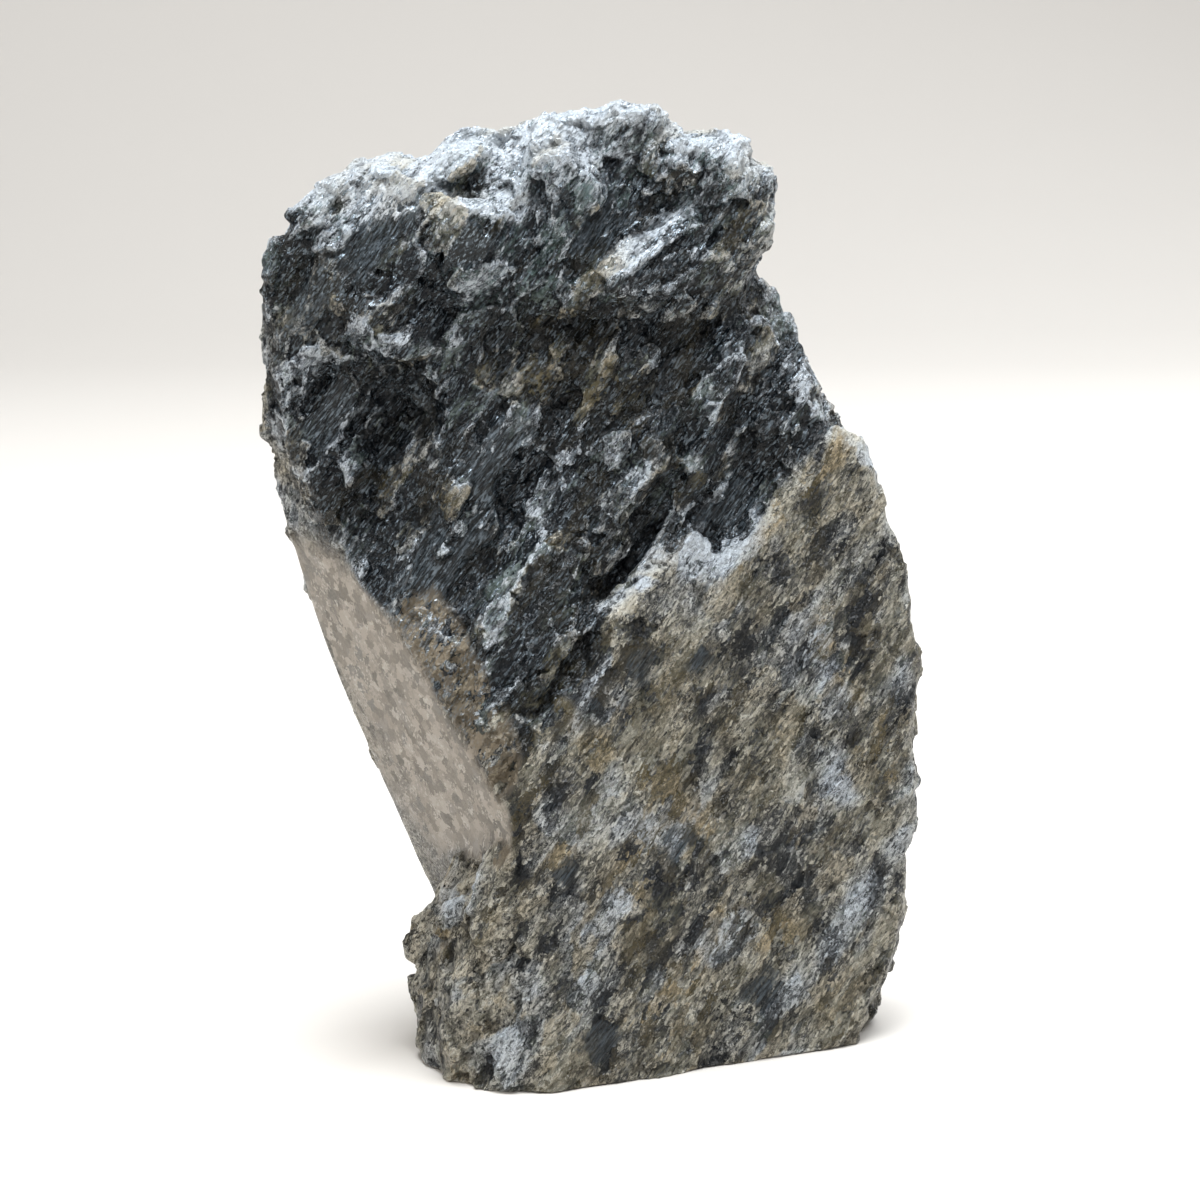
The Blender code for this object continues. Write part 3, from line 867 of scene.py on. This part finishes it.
def labradorite():
    """Grey-blue feldspar: streaked, frosted on its edges, khaki in places, glassy on its faces, with
    painted light on its tops and ledges and painted shade in its hollows.
    """
    tree = Tree("labradorite")
    grains, specks, fibres, curls, height = patterns(tree)
    ridge, swell, top = tree.stored("ridge", "swell", "top")
    smooth, broken, head, plate = tree.stored("smooth", "broken", "head", "plate")
    pale, dark, tan, beige = tree.stored("pale", "dark", "tan", "beige")
    bands, stain, crystal, hue, rim = tree.stored("bands", "stain", "crystal", "hue", "rim")

    # kinds of place: tops (frosted, and painted lighter as if lit from above), clear grains, wild
    # rock, glassy crystals, and cool or warm rock
    top = top * (1.0 - broken * 0.6) * (1.0 - dark.least(1.0) * 0.7)
    clear = (0.34 + broken * 0.25 + dark * 0.4 - (pale + top) * 0.35 - grains[2]).step(0.0, 0.10)
    wild = (broken + head).least(1.0)
    swell = swell * wild
    glassy = (0.38 + wild * 0.10 - crystal).step(0.0, 0.08) * (0.25 + wild * 0.75) * (1.0 - top * 0.8)
    cool = broken * 0.8 + head * 1.1 + pale * 0.2 + (0.5 - stain) * (2.6 - wild * 1.4)
    cool = (cool + (hue - 0.55) * (1.1 + wild * 0.3)).most(0.0).least(1.0)

    # the rock's body, with blue and olive crystals, and painted light and shade on tops, swells and
    # hollows
    tone = (bands - 0.5) * 1.3 + (stain - 0.5) * 1.0
    tone = tone + (grains[0] - 0.5) * (0.45 + broken * 0.3 + head * 0.3)
    # painted light and shade: broad swells lighter, broad hollows darker
    tone = tone + swell * 0.18 + (crystal - 0.5) * (0.2 + wild * 0.4)
    fine = (fibres - 0.5) * 1.7 + (curls - 0.5) * 1.2 + (specks[0] - 0.5) * 0.9
    tone = tone + fine * (1.0 - clear * 0.6) * (1.0 - glassy * 0.5)
    tone = tone - specks[1].step(0.84, 0.94) * 0.30 - broken * 0.33 - head * 0.22 - clear * 0.08
    # painted light on up-facing tops and lit ledges, painted shade in shaded hollows and on the sides
    # of the grooves
    tone = tone + pale * 0.18 + top * 0.42 - dark * 0.22 + 0.44
    rock = tree.ramp(tone, BODY)
    rock = tree.colour(rock, BLUE_CAST, cool * (0.72 + head * 0.28), "MULTIPLY")
    rock = tree.colour(rock, OLIVE_CAST, (1.0 - cool) * wild * 0.9, "MULTIPLY")

    # khaki and ochre stains, with curled threads in them
    threads = (curls * 42.0).math("SINE").step(0.55, 1.0)
    ochre = tree.colour(DEEP_OCHRE, PALE_OCHRE, threads * 0.6 + specks[1] * 0.4)
    stained = tan * 0.9 + stain.step(0.46, 0.66) * 0.30 + (0.45 - hue).step(0.0, 0.2) * 0.28
    stained = stained * (grains[1] + fibres).step(0.70, 1.20)
    rock = tree.colour(rock, ochre, (stained * (1.0 - broken * 0.75) * (1.0 - head * 0.6)).least(0.85))

    # glassy plates with fine dark and blue-grey stripes
    slate = tree.colour(DEEP_SLATE, PALE_SLATE, fibres.step(0.42, 0.62))
    rock = tree.colour(rock, slate, plate * (0.95 - grains[1] * 0.4))

    # pale frost of crushed feldspar: the same threads, and needles, close up on tops and ridges; the
    # extra frost on up-facing tops, lit ledges and broad swells is partly painted light
    needles = (fibres * 28.0).math("SINE").step(0.60, 1.0)
    # partly painted light and shade: more frost on up-facing tops, lit ledges and broad swells, less
    # on the shaded marks
    coat = 0.46 + ridge.step(0.0, 0.8) * 0.20 + top * 0.66 + pale * 0.30 + swell * 0.16
    coat = coat + (bands - stain) * 0.6 - clear * 0.34 - glassy * 0.42 - dark * 0.28
    coat = coat - broken * 0.30 - head * 0.14 - plate * 0.24
    coat = coat + rim * wild * (ridge.step(-0.4, 0.4) * 0.45 - 0.05)
    coat = coat.least(0.86 + top * 0.4)
    chips = (specks[2] + coat - 1.0).step(0.0, 0.30) * (0.16 + wild * 0.09 + fibres * 0.6 + top * 0.3)
    frost = (threads * 0.80 + needles * 0.44) * (coat * 1.6 - 0.10).most(0.0) + chips
    frost = frost * (0.55 + specks[0] * 0.6) * (1.0 - smooth) * (1.0 - (1.0 - cool) * broken * 0.45)
    cream = tree.colour(CREAM_FROST, TAN_FROST, stained.least(0.9))
    rock = tree.colour(rock, tree.colour(cream, BLUE_FROST, cool), frost.least(0.95).most(0.0))
    # painted shade: darker in the sharp valleys between ridges
    rock = tree.colour(rock, CREVICE_SHADE, (-ridge).step(0.2, 1.0) * 0.5)

    # the smooth left face, and the crystals beside it
    khaki = beige * grains[1].step(0.25, 0.40)
    mosaic = side_mosaic(tree, grains, specks, curls, bands)
    mosaic = tree.colour(mosaic, BEIGE_CAST, khaki, "MULTIPLY")
    rock = tree.colour(rock, mosaic, (smooth + khaki).least(1.0))

    # gloss: clear crystals and some chips catch the light one by one
    glint = specks[1].step(0.45, 0.75) * fibres.step(0.46, 0.58) * (1.0 - smooth)
    glint = glint * (broken * 0.5 + head * 0.8 + cool * 0.3).least(1.0)
    rock = tree.colour(rock, GLINT, glint * 0.6)
    rough = 0.40 - glassy * 0.08 - clear * 0.14 - glint * 0.14 - grains[1] * 0.10 + smooth * 0.12

    # the finest relief is weaker on plates and glassy crystals, and almost gone on the smooth face
    height = height * (1.0 - plate * 0.6) * (1.0 - glassy * 0.45) * (1.0 - smooth * 0.93)
    bump = tree.node("ShaderNodeBump", None,
                     {"Strength": 1.0, "Distance": BUMP_HEIGHT * MM, "Height": height})
    return tree.finish(Base_Color=rock, Roughness=rough.most(0.18), Metallic=glint * 0.8,
                       Specular_IOR_Level=0.28, Normal=bump)


# ---- The stone ---------------------------------------------------------------------------------
def make_stone():
    """The whole stone in one piece, on its resting face."""
    piece = fine_skin()
    break_surface(piece)
    thin_out(piece)
    mark_places(piece)
    piece.data.shade_flat()
    piece.data.materials.clear()
    piece.data.materials.append(labradorite())
    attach(piece, "root")
    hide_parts(NODE)


# ---- Studio, in metres -------------------------------------------------------------------------
FLOOR = rgb(0.72, 0.68, 0.63)
BEND_STEPS = 12                             # of the curve from the floor up into the backdrop
AIM = (0.0, 0.0, 0.08)                      # the middle of the stone
EYE = (0.0, -690.0, 206.4)                  # the camera, in the stone's layout, in millimetres
LOOK_DOWN = 10.0                            # its slope, in degrees


def pale_floor():
    """A plain pale floor that sweeps up behind into a plain backdrop."""
    width, front, back, rise, radius = 3.2, -2.0, 1.6, 2.6, 0.6
    profile = [(front, 0.0), (back - radius, 0.0)]
    for step in range(1, BEND_STEPS + 1):
        angle = math.pi / 2 * step / BEND_STEPS
        profile.append((back - radius + radius * math.sin(angle), radius - radius * math.cos(angle)))
    profile.append((back, rise))
    mesh = bmesh.new()
    rows = [[mesh.verts.new((side * width, y, z)) for side in (-1, 1)] for y, z in profile]
    for low, high in zip(rows, rows[1:]):
        mesh.faces.new((low[0], low[1], high[1], high[0]))
    data = bpy.data.meshes.new("pale_floor")
    mesh.to_mesh(data)
    mesh.free()
    data.shade_smooth()
    floor = bpy.data.objects.new("pale_floor", data)
    bpy.context.scene.collection.objects.link(floor)
    data.materials.append(Tree("pale_floor").finish(Base_Color=FLOOR, Roughness=0.7))


def soft_light(name, place, size, power, tone):
    """A soft square light at a place, turned to the middle of the stone."""
    light = bpy.data.lights.new(name, "AREA")
    light.size = size
    light.energy = power
    light.color = tone
    lamp = bpy.data.objects.new(name, light)
    lamp.location = place
    lamp.rotation_euler = (Vector(AIM) - Vector(place)).to_track_quat("-Z", "Y").to_euler()
    bpy.context.scene.collection.objects.link(lamp)


def studio():
    """Strong soft light from above, a rim from behind, and weak fills from the left and front."""
    soft_light("ceiling", (0.05, -0.10, 1.20), 0.8, 28.0, (0.92, 0.96, 1.0))
    soft_light("rim", (0.55, 0.75, 0.75), 0.6, 7.0, (0.90, 0.95, 1.0))
    soft_light("window", (-0.95, -0.15, 0.50), 0.7, 4.2, (1.0, 0.98, 0.95))
    soft_light("fill", (0.35, -1.2, 0.55), 0.9, 3.9, (1.0, 0.98, 0.96))
    world = bpy.data.worlds.new("room")
    world.use_nodes = True
    background = world.node_tree.nodes["Background"]
    background.inputs["Color"].default_value = rgb(0.95, 0.96, 1.0)
    background.inputs["Strength"].default_value = 0.20
    bpy.context.scene.world = world
    bpy.context.scene.view_settings.view_transform = "Standard"


def camera():
    """A long lens a little above the stone, looking slightly down at its broken front."""
    lens = bpy.data.cameras.new("camera")
    lens.lens = 127.5
    lens.sensor_width = 36.0
    lens.clip_start = 0.01
    eye = bpy.data.objects.new("camera", lens)
    eye.location = Vector(EYE) * MM + Vector(CORNER) * MM
    eye.rotation_euler = (math.radians(90.0 - LOOK_DOWN), 0.0, 0.0)
    bpy.context.scene.collection.objects.link(eye)
    bpy.context.scene.camera = eye


make_stone()
pale_floor()
studio()
camera()
